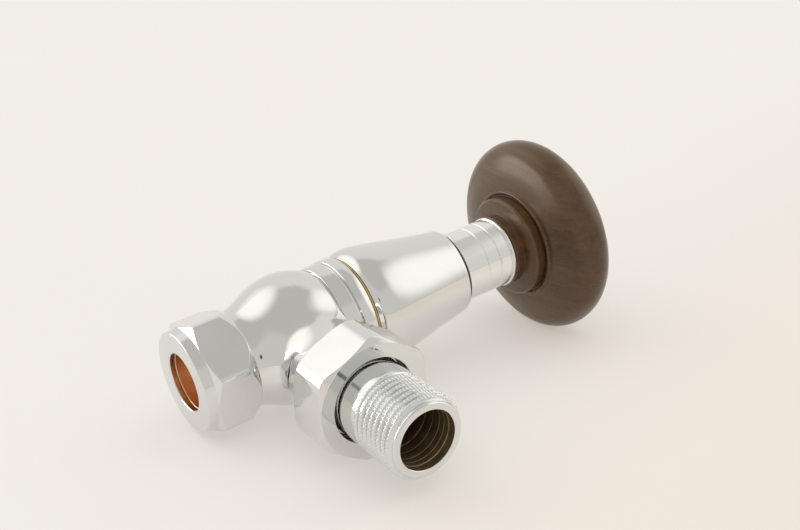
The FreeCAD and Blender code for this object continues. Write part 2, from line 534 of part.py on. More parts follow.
# ---------------------------------------------------------------- ferrule
b = new_body("ferrule")
fr, fd, fh = D("ferrule_r"), D("flute_depth"), D("flute_half")
outline = [(D("ferrule_in_r"), D("ferrule_low")), (fr, D("ferrule_low"))]
for key in ("flute_one", "flute_two", "flute_three"):
    outline += [(fr, D(key) - fh), (fr - fd, D(key)), (fr, D(key) + fh)]
outline += [
    (fr - 0.05, D("ferrule_top") - 1.3), (D("ferrule_lip_r"), D("ferrule_top") - 0.9),
    (D("ferrule_lip_r"), D("ferrule_top") - 0.2), (D("ferrule_lip_r") - 0.2, D("ferrule_top")),
    (D("ferrule_hole_r"), D("ferrule_top")), (D("ferrule_hole_r"), D("ferrule_web")),
    (D("ferrule_in_r"), D("ferrule_web")),
]
turn(b, "sleeve", outline)

# ---------------------------------------------------------------- wheel bush, handwheel and its fixings
b = new_body("wheel_bush")
turn(b, "blank", [
    (0, D("bush_low")), (D("bush_r"), D("bush_low")), (D("bush_r"), D("bush_flange_low")),
    (D("bush_flange_r"), D("bush_flange_low")), (D("bush_flange_r"), D("bush_flange_top")),
    (D("bush_r"), D("bush_flange_top")), (D("bush_r"), D("bush_top") - 0.3),
    (D("bush_r") - 0.3, D("bush_top")), (0, D("bush_top")),
])
column(b, "hole", D("bush_web") - 0.5, D("bush_top") - D("bush_web") + 1,
       circles=((0, 0, D("bush_hole_r")),), cut=True)
column(b, "drive", D("bush_low") - 0.5, D("bush_web") - D("bush_low") + 0.5,
       pts=two_flats(D("bush_bore_r"), D("bush_flat")), cut=True)

b = new_body("handwheel")
rc_r, rc_z, rr = D("rim_centre_r"), D("rim_centre_z"), D("rim_round")
near_r, near_z = rc_r + rr * 0.2756, rc_z - rr * 0.9613
turn(b, "wood", [
    (D("wheel_bore_r"), D("wheel_low")), (D("hub_neck_r") - 0.4, D("wheel_low")),
    (D("hub_neck_r"), D("wheel_low") + 0.4), (D("hub_neck_r"), D("hub_neck_z")),
    (D("hub_r") - 0.5, D("hub_z")), (D("hub_r"), D("hub_z") + 0.5, 0.5),
    (D("hub_r"), D("groove_z")), (D("bead_in_r"), D("groove_z")),
    (D("bead_in_r"), D("bead_top_z") + 0.35), (D("bead_out_r"), D("wheel_face_z"), 0.57),
    (near_r, near_z, 70.0),
    (rc_r + rr, rc_z, rr), (rc_r + 0.6, rc_z + root(rr * rr - 0.36), rr),
    (D("recess_r") + 1.2, D("wheel_back_z"), 90.0), (D("recess_r") + 0.4, D("wheel_back_z")),
    (D("recess_r"), D("wheel_back_z") - 0.4), (D("recess_r"), D("recess_z")),
    (D("wheel_bore_r"), D("recess_z")),
])

b = new_body("wheel_screw")
turn(b, "bar", [
    (0, D("bolt_low")), (D("bolt_r") - 0.4, D("bolt_low")), (D("bolt_r"), D("bolt_low") + 0.4),
    (D("bolt_r"), D("bolt_head_low")), (D("bolt_head_r"), D("bolt_head_low")),
    (D("bolt_head_r"), D("bolt_head_top") - 0.4), (D("bolt_head_r") - 0.4, D("bolt_head_top")),
    (0, D("bolt_head_top")),
])
sk_r = D("bolt_key_r")
column(b, "socket", D("bolt_head_top") - 1.6, num(2.6),
       pts=[(sk_r * cosd(num(60 * k)), sk_r * sind(num(60 * k))) for k in range(6)], cut=True)

b = new_body("spring_washer")
turn(b, "ring", [(D("lock_in_r"), D("lock_low")), (D("lock_out_r"), D("lock_low")),
                 (D("lock_out_r"), D("lock_top")), (D("lock_in_r"), D("lock_top"))])
column(b, "split", D("lock_low") - 0.3, D("lock_top") - D("lock_low") + 0.6,
       pts=[(0, -D("lock_gap") / 2), (D("lock_out_r") + 1, -D("lock_gap") / 2),
            (D("lock_out_r") + 1, D("lock_gap") / 2), (0, D("lock_gap") / 2)], cut=True)

b = new_body("screw_cap")
turn(b, "dome", [
    (D("cap_in_r"), D("cap_low")), (D("cap_r"), D("cap_low")), (D("cap_r"), D("cap_edge")),
    (1.0, D("cap_top"), 14.0), (0, D("cap_top")), (0, D("cap_top") - 1.0), (D("cap_in_r"), D("cap_edge") - 0.7),
])

doc.recompute()

# ---------------------------------------------------------------- the two seals of one node
bad = [o.Label for o in doc.Objects if "Invalid" in o.State or "Error" in o.State]
if bad:
    raise RuntimeError("features in error: %s" % bad)

# Lay the valve on its wheel rim and the corners of its two nuts.
ks, ko = NUM["spindle_rise"], NUM["outlet_rise"]
up = FreeCAD.Vector(ko, -math.sqrt(1.0 - ks * ks - ko * ko), ks)
along = FreeCAD.Vector(0, 0, 1) - up * ks
along.normalize()
across = up.cross(along)
m = FreeCAD.Matrix(along.x, along.y, along.z, 0, across.x, across.y, across.z, 0,
                   up.x, up.y, up.z, 0, 0, 0, 0, 1)
turned = FreeCAD.Placement(m)
low = [1e9] * 3
high = [-1e9] * 3
for body in BODIES:
    shape = body.Shape.copy()
    shape.Placement = turned.multiply(shape.Placement)
    box = shape.optimalBoundingBox(False, False)
    for k, (a, c) in enumerate(((box.XMin, box.XMax), (box.YMin, box.YMax), (box.ZMin, box.ZMax))):
        low[k], high[k] = min(low[k], a), max(high[k], c)
shift = FreeCAD.Vector(-(low[0] + high[0]) / 2, -(low[1] + high[1]) / 2, -low[2])
lying = FreeCAD.Placement(shift, turned.Rotation)
for body in BODIES:
    body.Placement = lying
doc.recompute()
print("shift", shift, "rotation", turned.Rotation.Q, "size", [round(high[k] - low[k], 3) for k in range(3)])

os.makedirs("parts", exist_ok=True)
for body in BODIES:
    s = body.Shape
    if s.isNull() or not s.isValid():
        raise RuntimeError("bad shape: " + body.Label)
    if "Invalid" in body.State or "Error" in body.State:
        raise RuntimeError("bad state: " + body.Label)

by_name = {body.Label: body for body in BODIES}
pair = by_name.pop("spindle_o_ring_upper")
rings = doc.addObject("Part::Compound", "spindle_o_rings")
rings.Links = [by_name.pop("spindle_o_ring_lower"), pair]
rings.Label = "spindle_o_rings"
doc.recompute()
by_name["spindle_o_rings"] = rings
for name, obj in by_name.items():
    obj.Shape.exportStep("parts/%s.step" % name)
    print("%-20s %9.2f mm3 solids %d" % (name, obj.Shape.Volume, len(obj.Shape.Solids)))
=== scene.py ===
import bpy
import json
import math
import numpy as np
from mathutils import Matrix, Vector


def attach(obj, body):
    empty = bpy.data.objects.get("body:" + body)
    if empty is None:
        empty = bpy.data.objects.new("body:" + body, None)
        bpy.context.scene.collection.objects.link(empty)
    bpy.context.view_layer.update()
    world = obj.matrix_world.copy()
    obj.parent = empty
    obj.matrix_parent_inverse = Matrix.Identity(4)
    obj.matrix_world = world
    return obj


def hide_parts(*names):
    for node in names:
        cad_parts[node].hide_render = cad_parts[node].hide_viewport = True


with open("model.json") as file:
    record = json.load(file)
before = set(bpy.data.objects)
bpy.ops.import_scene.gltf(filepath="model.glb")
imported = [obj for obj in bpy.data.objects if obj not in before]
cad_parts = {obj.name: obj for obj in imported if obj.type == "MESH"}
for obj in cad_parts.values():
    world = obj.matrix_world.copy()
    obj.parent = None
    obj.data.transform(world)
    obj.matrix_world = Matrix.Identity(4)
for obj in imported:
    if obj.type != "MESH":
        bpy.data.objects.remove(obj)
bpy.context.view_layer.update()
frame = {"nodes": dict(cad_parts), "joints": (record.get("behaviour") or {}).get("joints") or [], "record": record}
nodes = frame["nodes"]
joints = {j["name"]: j for j in frame["joints"]}

# ------------------------------------------------------------------ the valve's own axes
# local +Z is the spindle axis towards the wheel, local +X the outlet axis, millimetres.
sp = Vector(joints["handwheel_turn"]["axis"]).normalized()
ou = Vector(joints["tail_withdraw"]["axis"])
ou = (ou - sp * ou.dot(sp)).normalized()
yy = sp.cross(ou)
origin = Vector(joints["handwheel_turn"]["pos_m"]) - 0.060 * sp
VM = Matrix(((ou.x, yy.x, sp.x, origin.x), (ou.y, yy.y, sp.y, origin.y), (ou.z, yy.z, sp.z, origin.z), (0, 0, 0, 1)))


# ------------------------------------------------------------------ material helpers
class Net:
    def __init__(self, name):
        self.m = bpy.data.materials.new(name)
        self.m.use_nodes = True
        self.t = self.m.node_tree
        self.t.nodes.clear()
        self.out = self.n("ShaderNodeOutputMaterial")
        self.b = self.n("ShaderNodeBsdfPrincipled")
        self.link(self.b.outputs["BSDF"], self.out.inputs["Surface"])
        self.co = self.n("ShaderNodeTexCoord").outputs["Object"]

    def n(self, kind, **kw):
        node = self.t.nodes.new(kind)
        for k, v in kw.items():
            setattr(node, k, v)
        return node

    def link(self, a, b):
        self.t.links.new(a, b)

    def set(self, **kw):
        for k, v in kw.items():
            self.b.inputs[k.replace("_", " ")].default_value = v

    def mapping(self, scale, rot=(0, 0, 0), loc=(0, 0, 0)):
        mp = self.n("ShaderNodeMapping")
        mp.inputs["Scale"].default_value = scale
        mp.inputs["Rotation"].default_value = rot
        mp.inputs["Location"].default_value = loc
        self.link(self.co, mp.inputs["Vector"])
        return mp.outputs["Vector"]

    def noise(self, vec, scale, detail=3.0, rough=0.5, dist=0.0):
        nz = self.n("ShaderNodeTexNoise")
        nz.inputs["Scale"].default_value = scale
        nz.inputs["Detail"].default_value = detail
        nz.inputs["Roughness"].default_value = rough
        nz.inputs["Distortion"].default_value = dist
        self.link(vec, nz.inputs["Vector"])
        return nz.outputs["Fac"]

    def ramp(self, fac, stops):
        r = self.n("ShaderNodeValToRGB")
        e = r.color_ramp.elements
        while len(e) < len(stops):
            e.new(0.5)
        for el, (p, c) in zip(e, stops):
            el.position = p
            el.color = (*c, 1.0) if len(c) == 3 else c
        self.link(fac, r.inputs["Fac"])
        return r.outputs["Color"]

    def remap(self, fac, lo, hi, a=0.0, b=1.0):
        r = self.n("ShaderNodeMapRange")
        r.inputs["From Min"].default_value = a
        r.inputs["From Max"].default_value = b
        r.inputs["To Min"].default_value = lo
        r.inputs["To Max"].default_value = hi
        self.link(fac, r.inputs["Value"])
        return r.outputs["Result"]

    def math(self, op, a, b=None):
        m = self.n("ShaderNodeMath", operation=op)
        for i, v in enumerate((a, b)):
            if v is None:
                continue
            if isinstance(v, (int, float)):
                m.inputs[i].default_value = v
            else:
                self.link(v, m.inputs[i])
        return m.outputs[0]

    def bump(self, height, strength, dist, base=None):
        b = self.n("ShaderNodeBump")
        b.inputs["Strength"].default_value = strength
        b.inputs["Distance"].default_value = dist
        self.link(height, b.inputs["Height"])
        if base is not None:
            self.link(base, b.inputs["Normal"])
        return b.outputs["Normal"]

    def mix(self, fac, a, b):
        m = self.n("ShaderNodeMix", data_type="RGBA")
        self.link(fac, m.inputs[0]) if not isinstance(fac, float) else setattr(m.inputs[0], "default_value", fac)
        for idx, v in ((6, a), (7, b)):
            if isinstance(v, tuple):
                m.inputs[idx].default_value = (*v, 1.0)
            else:
                self.link(v, m.inputs[idx])
        return m.outputs[2]


def chrome(name, tint=(0.79, 0.79, 0.785), tint2=(0.75, 0.75, 0.745), rough=(0.035, 0.075), wave=0.012):
    q = Net(name)
    q.set(Metallic=1.0)
    big = q.noise(q.co, 60.0, 2.0)
    q.link(q.ramp(big, [(0.3, tint2), (0.7, tint)]), q.b.inputs["Base Color"])
    fine = q.noise(q.co, 900.0, 3.0)
    q.link(q.remap(fine, rough[0], rough[1], 0.3, 0.7), q.b.inputs["Roughness"])
    soft = q.noise(q.co, 130.0, 2.0)
    q.link(q.bump(soft, wave, 0.001, q.bump(fine, 0.004, 0.0002)), q.b.inputs["Normal"])
    return q.m


def metal(name, c1, c2, rough=(0.2, 0.35), scale=400.0, turned=None, depth=0.02):
    """Machined metal: colour cloud, roughness noise and fine turning lines along an axis."""
    q = Net(name)
    q.set(Metallic=1.0)
    cloud = q.noise(q.co, scale * 0.4, 4.0)
    q.link(q.ramp(cloud, [(0.3, c1), (0.7, c2)]), q.b.inputs["Base Color"])
    fine = q.noise(q.co, scale, 3.0)
    q.link(q.remap(fine, rough[0], rough[1], 0.3, 0.7), q.b.inputs["Roughness"])
    if turned is not None:
        sc = [20.0, 20.0, 20.0]
        sc[turned] = 3500.0
        lines = q.noise(q.mapping(tuple(sc)), 1.0, 2.0)
        q.link(q.bump(lines, depth * 10, 0.0001), q.b.inputs["Normal"])
    else:
        q.link(q.bump(fine, depth, 0.0005), q.b.inputs["Normal"])
    return q.m


M_CHROME = chrome("chrome_plate")
M_CHROME_NUT = chrome("chrome_nut", wave=0.006, rough=(0.05, 0.10))
M_CHROME_SLEEVE = chrome("chrome_sleeve", tint=(0.91, 0.91, 0.905), tint2=(0.84, 0.84, 0.835), rough=(0.05, 0.11), wave=0.02)
M_CHROME_THREAD = chrome("chrome_thread", tint=(0.80, 0.81, 0.81), tint2=(0.72, 0.73, 0.73), rough=(0.045, 0.11), wave=0.02)
M_BRASS = metal("raw_brass", (0.62, 0.43, 0.17), (0.78, 0.58, 0.28), (0.22, 0.36), 500.0, turned=2, depth=0.02)
M_BRASS_RING = metal("brass_ring", (0.50, 0.34, 0.10), (0.72, 0.53, 0.20), (0.25, 0.40), 900.0, turned=2, depth=0.02)
M_COPPER = metal("copper", (0.86, 0.49, 0.30), (0.96, 0.62, 0.42), (0.25, 0.42), 500.0, turned=2, depth=0.03)
M_STEEL = metal("plated_steel", (0.50, 0.50, 0.51), (0.64, 0.64, 0.65), (0.25, 0.38), 700.0, turned=2, depth=0.02)


def dark_bore(name):
    """Unplated bore with oxide and thin bright tool rings round the X axis."""
    q = Net(name)
    q.set(Metallic=0.35)
    cloud = q.noise(q.co, 350.0, 4.0)
    base = q.ramp(cloud, [(0.25, (0.105, 0.070, 0.036)), (0.6, (0.165, 0.115, 0.060)), (0.85, (0.250, 0.180, 0.095))])
    sep = q.n("ShaderNodeSeparateXYZ")
    q.link(q.co, sep.inputs[0])
    x = sep.outputs[0]
    wob = q.math("MULTIPLY", q.noise(q.co, 90.0, 2.0), 0.00015)
    xx = q.math("ADD", x, wob)
    total = None
    for centre, width, amp in ((0.0578, 0.00010, 1.0), (0.0561, 0.00007, 0.8), (0.0543, 0.00010, 1.0), (0.0518, 0.00007, 0.8), (0.0490, 0.00010, 1.0), (0.0450, 0.00008, 0.8), (0.0402, 0.00010, 0.8)):
        d = q.math("ABSOLUTE", q.math("SUBTRACT", xx, centre))
        g = q.remap(d, amp, 0.0, 0.0, width * 2.2)
        total = g if total is None else q.math("MAXIMUM", total, g)
    broken = q.remap(q.noise(q.mapping((1, 1, 1)), 260.0, 2.0), 0.35, 1.0, 0.30, 0.5)
    ring = q.math("MULTIPLY", total, broken)
    q.link(q.mix(ring, base, (0.95, 0.80, 0.52)), q.b.inputs["Base Color"])
    q.link(q.remap(cloud, 0.30, 0.55, 0.2, 0.8), q.b.inputs["Roughness"])
    sc = q.noise(q.mapping((2500.0, 20.0, 20.0)), 1.0, 2.0)
    q.link(q.bump(sc, 0.25, 0.0001), q.b.inputs["Normal"])
    return q.m


M_BORE = dark_bore("tail_bore_oxide")


def wood(name):
    q = Net(name)
    # grain runs across the wheel, along local X, slightly tilted
    v = q.mapping((38.0, 420.0, 300.0), rot=(0.12, 0.08, 0.55))
    grain = q.noise(v, 1.0, 6.0, 0.62, 0.35)
    v2 = q.mapping((14.0, 120.0, 90.0), rot=(0.12, 0.08, 0.55))
    broad = q.noise(v2, 1.0, 3.0, 0.5, 0.6)
    col = q.ramp(grain, [(0.28, (0.024, 0.0098, 0.0032)), (0.44, (0.050, 0.0215, 0.0072)), (0.58, (0.082, 0.037, 0.0130)), (0.76, (0.128, 0.062, 0.0240))])
    col2 = q.ramp(broad, [(0.30, (0.034, 0.0142, 0.0045)), (0.70, (0.106, 0.049, 0.0175))])
    q.link(q.mix(0.45, col, col2), q.b.inputs["Base Color"])
    q.set(Metallic=0.0)
    pores = q.noise(q.mapping((160.0, 2600.0, 1800.0), rot=(0.12, 0.08, 0.55)), 1.0, 2.0)
    q.link(q.remap(grain, 0.22, 0.36, 0.3, 0.7), q.b.inputs["Roughness"])
    q.set(Specular_IOR_Level=0.6, Specular_Tint=(1.0, 0.86, 0.72, 1.0), Coat_Weight=0.2, Coat_Roughness=0.2)
    q.link(q.bump(pores, 0.10, 0.0001, q.bump(grain, 0.06, 0.0003)), q.b.inputs["Normal"])
    return q.m


M_WOOD = wood("dark_wood")


def dull(name, c1, c2, rough=(0.45, 0.6), scale=600.0, bump=0.05, metallic=0.0):
    q = Net(name)
    q.set(Metallic=metallic)
    nz = q.noise(q.co, scale, 3.0)
    q.link(q.ramp(nz, [(0.3, c1), (0.7, c2)]), q.b.inputs["Base Color"])
    q.link(q.remap(nz, rough[0], rough[1], 0.3, 0.7), q.b.inputs["Roughness"])
    q.link(q.bump(nz, bump, 0.0003), q.b.inputs["Normal"])
    return q.m


M_RUBBER = dull("seal_rubber", (0.012, 0.012, 0.012), (0.028, 0.028, 0.028), (0.5, 0.7))
M_POLY = dull("white_polymer", (0.70, 0.70, 0.66), (0.80, 0.80, 0.77), (0.4, 0.55))

# ------------------------------------------------------------------ profile and mesh helpers


def rounded(pts, k=5, closed=True):
    """pts: (a, b) or (a, b, r). Corners with r > 0 become arcs with guard points beside them."""
    P = [(float(p[0]), float(p[1]), float(p[2]) if len(p) > 2 else 0.0, p[3] if len(p) > 3 else None) for p in pts]
    n = len(P)
    out = []
    for i in range(n):
        x, y, r, tag = P[i]
        if r <= 0 or (not closed and i in (0, n - 1)):
            out.append((x, y, tag))
            continue
        p = np.array([x, y])
        a = np.array(P[i - 1][:2]) - p
        b = np.array(P[(i + 1) % n][:2]) - p
        la, lb = np.linalg.norm(a), np.linalg.norm(b)
        a, b = a / la, b / lb
        cosang = float(np.clip(a @ b, -1, 1))
        ang = math.acos(cosang)
        if ang > math.pi - 0.02:
            out.append((x, y, tag))
            continue
        t = r / math.tan(ang / 2)
        lim = 0.46 * min(la, lb)
        if t > lim:
            t = lim
            r = t * math.tan(ang / 2)
        bis = (a + b) / np.linalg.norm(a + b)
        c = p + bis * (r / math.sin(ang / 2))
        s, e = p + a * t, p + b * t
        g = min(0.05, 0.5 * t)
        out.append((*(p + a * (t + g)), tag))
        v0, v1 = s - c, e - c
        a0 = math.atan2(v0[1], v0[0])
        d = math.atan2(v0[0] * v1[1] - v0[1] * v1[0], float(v0 @ v1))
        for j in range(k + 1):
            th = a0 + d * j / k
            out.append((c[0] + r * math.cos(th), c[1] + r * math.sin(th), tag))
        out.append((*(p + b * (t + g)), tag))
    return out


def arc_pts(p0, p1, bulge_r, n, ccw=True):
    """Points on an arc from p0 to p1 (both included)."""
    p0, p1 = np.array(p0, float), np.array(p1, float)
    ch = p1 - p0
    L = np.linalg.norm(ch)
    h = math.sqrt(max(bulge_r ** 2 - (L / 2) ** 2, 0))
    side = np.array([-ch[1], ch[0]]) / L
    c = (p0 + p1) / 2 + side * (h if ccw else -h)
    a0 = math.atan2(*(p0 - c)[::-1])
    a1 = math.atan2(*(p1 - c)[::-1])
    if ccw:
        while a1 <= a0:
            a1 += 2 * math.pi
    else:
        while a1 >= a0:
            a1 -= 2 * math.pi
    return [(c[0] + bulge_r * math.cos(a0 + (a1 - a0) * i / n), c[1] + bulge_r * math.sin(a0 + (a1 - a0) * i / n)) for i in range(n + 1)]


def make_object(name, verts, faces, mats, index=None, body=None, slot=None, replaces=()):
    me = bpy.data.meshes.new(name)
    me.from_pydata(verts.tolist() if isinstance(verts, np.ndarray) else verts, [], faces.tolist() if isinstance(faces, np.ndarray) else faces)
    me.update()
    for m in mats:
        me.materials.append(m)
    if index is not None:
        me.polygons.foreach_set("material_index", np.asarray(index, np.int32))
    me.polygons.foreach_set("use_smooth", np.ones(len(me.polygons), bool))
    # outward normals
    co = np.empty(len(me.vertices) * 3)
    me.vertices.foreach_get("co", co)
    co = co.reshape(-1, 3)
    me.calc_loop_triangles()
    tri = np.empty(len(me.loop_triangles) * 3, np.int32)
    me.loop_triangles.foreach_get("vertices", tri)
    tri = tri.reshape(-1, 3)
    vol = np.einsum("ij,ij->i", co[tri[:, 0]], np.cross(co[tri[:, 1]], co[tri[:, 2]])).sum()
    if vol < 0:
        me.flip_normals()
    o = bpy.data.objects.new(name, me)
    bpy.context.scene.collection.objects.link(o)
    o.matrix_world = VM
    if body:
        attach(o, body)
    for r in replaces:
        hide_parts(r)
    return o


def lathe(name, prof, axis="Z", seg=160, mats=(), tags=None, closed=True, **kw):
    """prof: list of (t, r, tag) in mm. Revolves about local Z or X. An open profile starts and ends on the axis."""
    P = np.array([(p[0], p[1]) for p in prof], float)
    n = len(P)
    on_axis = np.abs(P[:, 1]) < 1e-9
    a = np.linspace(0, 2 * np.pi, seg, endpoint=False)
    ca, sa = np.cos(a), np.sin(a)
    verts, start = [], []
    for i in range(n):
        start.append(len(verts))
        t, r = P[i]
        if on_axis[i]:
            verts.append((t, 0.0, 0.0) if axis == "X" else (0.0, 0.0, t))
            continue
        for c, s in zip(ca, sa):
            verts.append((t, r * c, r * s) if axis == "X" else (r * c, r * s, t))
    verts = np.array(verts) * 0.001
    faces, index = [], []
    runs = n if closed else n - 1
    j = np.arange(seg)
    j2 = (j + 1) % seg
    for i in range(runs):
        k = (i + 1) % n
        tag = prof[i][2] if len(prof[i]) > 2 and prof[i][2] is not None else 0
        if on_axis[i] and on_axis[k]:
            continue
        if on_axis[i]:
            fs = np.stack([np.full(seg, start[i]), start[k] + j, start[k] + j2], 1).tolist()
        elif on_axis[k]:
            fs = np.stack([start[i] + j, np.full(seg, start[k]), start[i] + j2], 1).tolist()
        else:
            fs = np.stack([start[i] + j, start[k] + j, start[k] + j2, start[i] + j2], 1).tolist()
        faces += fs
        index += [tag] * seg
    return make_object(name, verts, faces, mats, index, **kw)


def grid_object(name, X, Y, Z, mats, index=None, **kw):
    """X, Y, Z: arrays (n along profile, m round), both directions closed; mm."""
    n, m = X.shape
    verts = np.stack([X.ravel(), Y.ravel(), Z.ravel()], 1) * 0.001
    i = np.arange(n)[:, None]
    j = np.arange(m)[None, :]
    i2, j2 = (i + 1) % n, (j + 1) % m
    F = np.stack([(i * m + j), (i2 * m + j), (i2 * m + j2), (i * m + j2)], 2).reshape(-1, 4)
    idx = None if index is None else np.repeat(np.asarray(index, np.int32), m)
    return make_object(name, verts, F, mats, idx, **kw)


def smin(a, b, k):
    h = np.maximum(k - np.abs(a - b), 0) / k
    return np.minimum(a, b) - h * h * k * 0.25


def smax(a, b, k):
    return -smin(-a, -b, k)


# ------------------------------------------------------------------ valve body
S, S0 = 17.23, 0.45


def sphere_r(z):
    return math.sqrt(S * S - (z - S0) ** 2)


pr = []
pr += [(-26.3, 9.9, 0.2), (-25.8, 10.4, 0.1), (-17.3, 10.4, 0.1), (-16.8, 9.9, 0.1), (-15.7, 9.9, 0.1),
       (-15.7, 12.4, 0.2), (-13.2, 12.4, 0.2), (-13.2, sphere_r(-12.2) - 0.6, 0.2)]
pr += [(z, sphere_r(z) - 0.30) for z in np.linspace(-12.0, 5.6, 40)]
pr += [(z, sphere_r(z) - 0.30 + 0.292 * (z - 5.6) / 1.4) for z in (6.2, 6.8)]
pr += [(z, sphere_r(z) - 0.006) for z in np.linspace(7.2, 8.35, 6)]
pr += [(8.6, sphere_r(8.6), 0.0), (8.72, 14.35, 0.08), (9.3, 14.35, 0.08), (9.5, 15.15, 0.18)]
pr += [(z, r) for r, z in [(15.2, 9.8), (15.29, 10.5), (15.37, 11.4), (15.42, 12.3)]]
pr += [(13.4, 15.45, 0.2), (13.6, 14.85, 0.08), (13.95, 14.85, 0.08), (14.2, 15.6, 0.2)]
pr += [(z, r) for r, z in [(15.68, 14.8), (15.73, 15.6)]]
pr += [(16.9, 15.75, 0.0), (17.9, 15.25, 0.5), (17.9, 13.7, 0.1)]
inner = [(16.2, 13.7), (16.2, 12.2), (9.3, 12.2), (9.3, 11.5), (-7.5, 11.5), (-8.5, 10.5), (-8.5, 8.0), (-6.1, 8.0), (-6.1, 6.2),
         (-15.5, 6.2), (-15.5, 7.6), (-22.4, 7.6), (-26.3, 9.45)]
n_outer = len(rounded(pr))
full = rounded(pr) + [(t, r, 1) for t, r in inner]
body = lathe("valve_body_globe", full, "Z", 224, [M_CHROME, M_BRASS], body=None)
cutter_prof = [(8.0, 0.0), (8.0, 7.4), (22.0, 7.4), (22.0, 0.0)]
cutter = lathe("outlet_cutter", [(t, r, 0) for t, r in cutter_prof], "X", 64, [M_BRASS], closed=False)
bo = body.modifiers.new("bore", "BOOLEAN")
bo.operation = "DIFFERENCE"
bo.solver = "EXACT"
bo.object = cutter
bpy.context.view_layer.update()
dg = bpy.context.evaluated_depsgraph_get()
baked = bpy.data.meshes.new_from_object(body.evaluated_get(dg))
body.modifiers.clear()
old = body.data
body.data = baked
bpy.data.meshes.remove(old)
bpy.data.objects.remove(cutter)
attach(body, "valve")
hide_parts("valve_body")

# outlet neck: leaves the globe in a concave sweep, a waist, then a rim behind the union nut
m = 224
ph = np.linspace(0, 2 * np.pi, m, endpoint=False)
xs = np.linspace(17.05, 24.8, 70)
rows_t, rows_r, tags = [], [], []


def neck_r(x):
    u = np.clip((x - 16.0) / 9.0, 0, 1)
    return 11.6 + 1.25 * u ** 2.2


sinp, cosp = np.sin(ph), np.cos(ph)


def skin(x, y, z):
    """Cast skin of the body: globe, outlet neck and inlet neck run together with soft fillets."""
    globe = np.sqrt(x * x + y * y + (z - S0) ** 2) - S
    outlet = np.sqrt(y * y + z * z) - neck_r(x) + np.maximum(-x, 0)
    inlet = np.sqrt(x * x + y * y) - 12.75 + np.maximum(z, 0)
    return smin(globe, smin(outlet, inlet, 8.0), 3.3)


def march(ox, oy, oz, dx, dy, dz, lo, hi):
    """Where rays leave the skin, by halving."""
    lo, hi = np.full(np.broadcast(ox, dx).shape, float(lo)), np.full(np.broadcast(ox, dx).shape, float(hi))
    for _ in range(34):
        mid = 0.5 * (lo + hi)
        inside = skin(ox + dx * mid, oy + dy * mid, oz + dz * mid) < 0
        lo, hi = np.where(inside, mid, lo), np.where(inside, hi, mid)
    return 0.5 * (lo + hi)


# skin seen from the middle of the globe: rows from the collar down to the inlet nut
nth, nph = 300, 520
th = np.linspace(math.radians(60.3), math.radians(178.0), nth)[:, None]
pz = np.linspace(0, 2 * np.pi, nph, endpoint=False)[None, :]
dx, dy, dz = np.sin(th) * np.cos(pz), np.sin(th) * np.sin(pz), np.cos(th) + 0 * pz
t = march(0.0, 0.0, 0.0, dx, dy, dz, 8.0, 60.0)
t = np.minimum(t, np.minimum(20.5 / np.maximum(dx, 1e-6), 16.12 / np.maximum(-dz, 1e-6)))
X, Y, Z = t * dx, t * dy, t * dz
keep = (X < 20.4) & (Z > -16.11)
i = np.arange(nth - 1)[:, None]
j = np.arange(nph)[None, :]
j2 = (j + 1) % nph
ok = (keep[i, j] | keep[i + 1, j] | keep[i + 1, j2] | keep[i, j2])
F = np.stack([i * nph + j + 0 * ok, i * nph + j2 + 0 * ok, (i + 1) * nph + j2 + 0 * ok, (i + 1) * nph + j + 0 * ok], 2)[ok]
# two layers, 0.45 mm apart, sewn round their open edges, so that the skin is a closed solid
used = np.unique(F)
new_id = np.full(nth * nph, -1)
new_id[used] = np.arange(len(used))
F = new_id[F]
outer = np.stack([X.ravel(), Y.ravel(), Z.ravel()], 1)[used]
inner_layer = outer * (1 - 0.45 / np.linalg.norm(outer, axis=1))[:, None]
nv = len(outer)
E = np.concatenate([F[:, [0, 1]], F[:, [1, 2]], F[:, [2, 3]], F[:, [3, 0]]])
key = np.minimum(E[:, 0], E[:, 1]) * nv + np.maximum(E[:, 0], E[:, 1])
uk, first, count = np.unique(key, return_index=True, return_counts=True)
rim = E[first[count == 1]]
walls = np.stack([rim[:, 1], rim[:, 0], rim[:, 0] + nv, rim[:, 1] + nv], 1)
F = np.concatenate([F, F[:, ::-1] + nv, walls])
make_object("body_skin", np.concatenate([outer, inner_layer]) * 0.001, F, [M_CHROME], np.zeros(len(F), np.int32), body="valve", slot="chrome_plate")

for x in xs[xs > 17.0]:
    r = march(x, 0.0, 0.0, 0.0 * cosp, cosp, sinp, 8.0, 30.0)
    r = r + 0.006 - 0.10 * np.clip((18.4 - x) / 1.5, 0, 1) ** 2
    rows_t.append(np.full(m, x))
    rows_r.append(r)
    tags.append(0)
tail_out = rounded([(24.8, 12.78), (25.25, 13.0, 0.1), (25.3, 13.25, 0.15), (26.2, 13.25, 0.25), (26.3, 12.3, 0.1), (27.5, 12.3, 0.1),
                    (27.8, 12.95, 0.1), (31.4, 12.95, 0.1), (32.0, 12.35, 0.1), (32.0, 10.2, 0.1), (31.5, 9.7, 0.1), (29.0, 9.7), (29.0, 7.4), (14.0, 7.4)], closed=False)
rows_outer = list(rows_t)
for t, r, _ in tail_out[1:]:
    rows_t.append(np.full(m, t))
    rows_r.append(np.full(m, r))
    tags.append(0 if len(rows_t) < len(rows_outer) + 22 else 1)
T, R = np.array(rows_t), np.array(rows_r)
grid_object("outlet_neck", T, R * cosp, R * sinp, [M_CHROME, M_BRASS], tags, body="valve", slot="chrome_plate")


# ------------------------------------------------------------------ hexagon nuts


